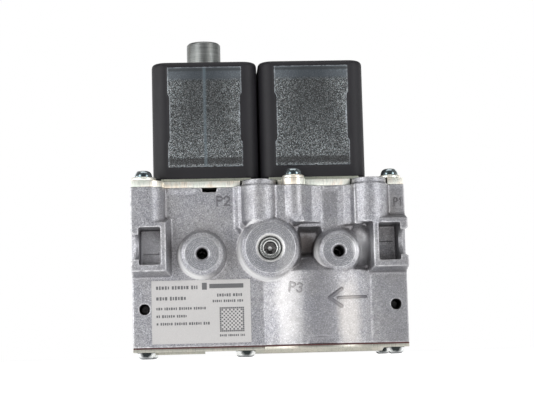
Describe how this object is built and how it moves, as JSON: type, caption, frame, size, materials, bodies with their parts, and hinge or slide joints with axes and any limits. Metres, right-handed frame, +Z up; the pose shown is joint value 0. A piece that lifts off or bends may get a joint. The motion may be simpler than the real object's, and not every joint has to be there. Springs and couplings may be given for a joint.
{
  "type": "gas valve",
  "caption": "Double solenoid gas valve with servo pressure regulator: die-cast body with side ports, two square coils on top, adjusters and pressure taps.",
  "frame": {"origin": "under the middle of the body, level with the heads of the bottom screws", "axes": "+X towards the gas inlet, +Y towards the back where the coil sockets are, +Z up towards the coils"},
  "size_m": [0.1244, 0.074, 0.1495],
  "materials": {
    "cast_body": "die cast, fine grain, satin",
    "rubber": "moulded rubber",
    "gasket": "thin pressed gasket sheet",
    "core_steel": "turned stainless steel",
    "yellow_zinc": "yellow passivated zinc plate",
    "zinc_steel": "bright zinc plate",
    "yoke_steel": "grey-green passivated sheet",
    "cap_metal": "pressed disc",
    "turned_steel": "turned, fine rings",
    "spring_steel": "drawn wire",
    "label": "printed foil",
    "bobbin_plastic": "glass filled nylon",
    "copper": "enamelled copper wire",
    "coil_plastic": "moulded, matte charcoal",
    "terminal_tin": "tinned blade"
  },
  "bodies": {
    "valve": {"adjuster_spring": "spring_steel", "bottom_cover": "yellow_zinc", "bottom_cover_screws": "zinc_steel", "bottom_gasket": "gasket", "column_caps": "cap_metal", "inlet_seal": "rubber", "inlet_strainer": "core_steel", "left_armature_tube": "core_steel", "left_coil_bobbin": "bobbin_plastic", "left_coil_housing": "coil_plastic", "left_coil_plate": "yellow_zinc", "left_coil_terminals": "terminal_tin", "left_coil_winding": "copper", "left_fixed_core": "core_steel", "left_plate_screws": "zinc_steel", "left_plate_washers": "yellow_zinc", "left_tube_seal": "rubber", "left_valve_spring": "spring_steel", "left_yoke": "yoke_steel", "outlet_seal": "rubber", "rating_label": "label", "regulator_diaphragm": "rubber", "regulator_spring": "spring_steel", "right_armature_tube": "core_steel", "right_coil_bobbin": "bobbin_plastic", "right_coil_housing": "coil_plastic", "right_coil_nut": "zinc_steel", "right_coil_plate": "yellow_zinc", "right_coil_terminals": "terminal_tin", "right_coil_winding": "copper", "right_fixed_core": "core_steel", "right_plate_screws": "zinc_steel", "right_plate_washers": "yellow_zinc", "right_tube_seal": "rubber", "right_valve_spring": "spring_steel", "right_yoke": "yoke_steel", "valve_body": "cast_body"},
    "left_valve": {"left_armature": "core_steel", "left_valve_disc": "core_steel", "left_valve_seal": "rubber"},
    "right_valve": {"right_armature": "core_steel", "right_valve_disc": "core_steel", "right_valve_seal": "rubber"},
    "regulator": {"regulator_valve": "core_steel", "regulator_lower_disc": "cap_metal", "regulator_upper_disc": "cap_metal"},
    "flow_knob": {"flow_adjuster": "turned_steel"},
    "adjuster_carrier": {"adjuster_spring_button": "turned_steel"},
    "adjuster_plug": {"regulator_adjuster": "turned_steel"}
  },
  "joints": [
    {"name": "left_valve_lift", "type": "slide", "parent": "valve", "child": "left_valve", "axis": [0, 0, 1], "range_m": [0, 0.0032], "stiffness_N_per_m": 400, "springref_m": -0.01, "deforming": ["left_valve_spring"]},
    {"name": "right_valve_lift", "type": "slide", "parent": "valve", "child": "right_valve", "axis": [0, 0, 1], "range_m": [0, 0.0032], "stiffness_N_per_m": 400, "springref_m": -0.01, "deforming": ["right_valve_spring"]},
    {"name": "regulator_travel", "type": "slide", "parent": "valve", "child": "regulator", "axis": [0, 0, -1], "range_m": [0, 0.003], "stiffness_N_per_m": 300, "springref_m": -0.01, "deforming": ["regulator_spring", "regulator_diaphragm"]},
    {"name": "flow_adjuster_turn", "type": "hinge", "parent": "valve", "child": "flow_knob", "pos_m": [-0.028, 0, 0.14], "axis": [0, 0, 1], "range_deg": [0, 630]},
    {"name": "adjuster_advance", "type": "slide", "parent": "valve", "child": "adjuster_carrier", "axis": [0, 1, 0], "range_m": [0, 0.00275], "deforming": ["adjuster_spring"]},
    {"name": "adjuster_turn", "type": "hinge", "parent": "adjuster_carrier", "child": "adjuster_plug", "pos_m": [0, -0.032, 0.0484], "axis": [0, 1, 0], "range_deg": [0, 990]}
  ],
  "couplings": [
    {"joint": "adjuster_turn", "follows": "adjuster_advance", "rad_per_m": 6283.2}
  ]
}
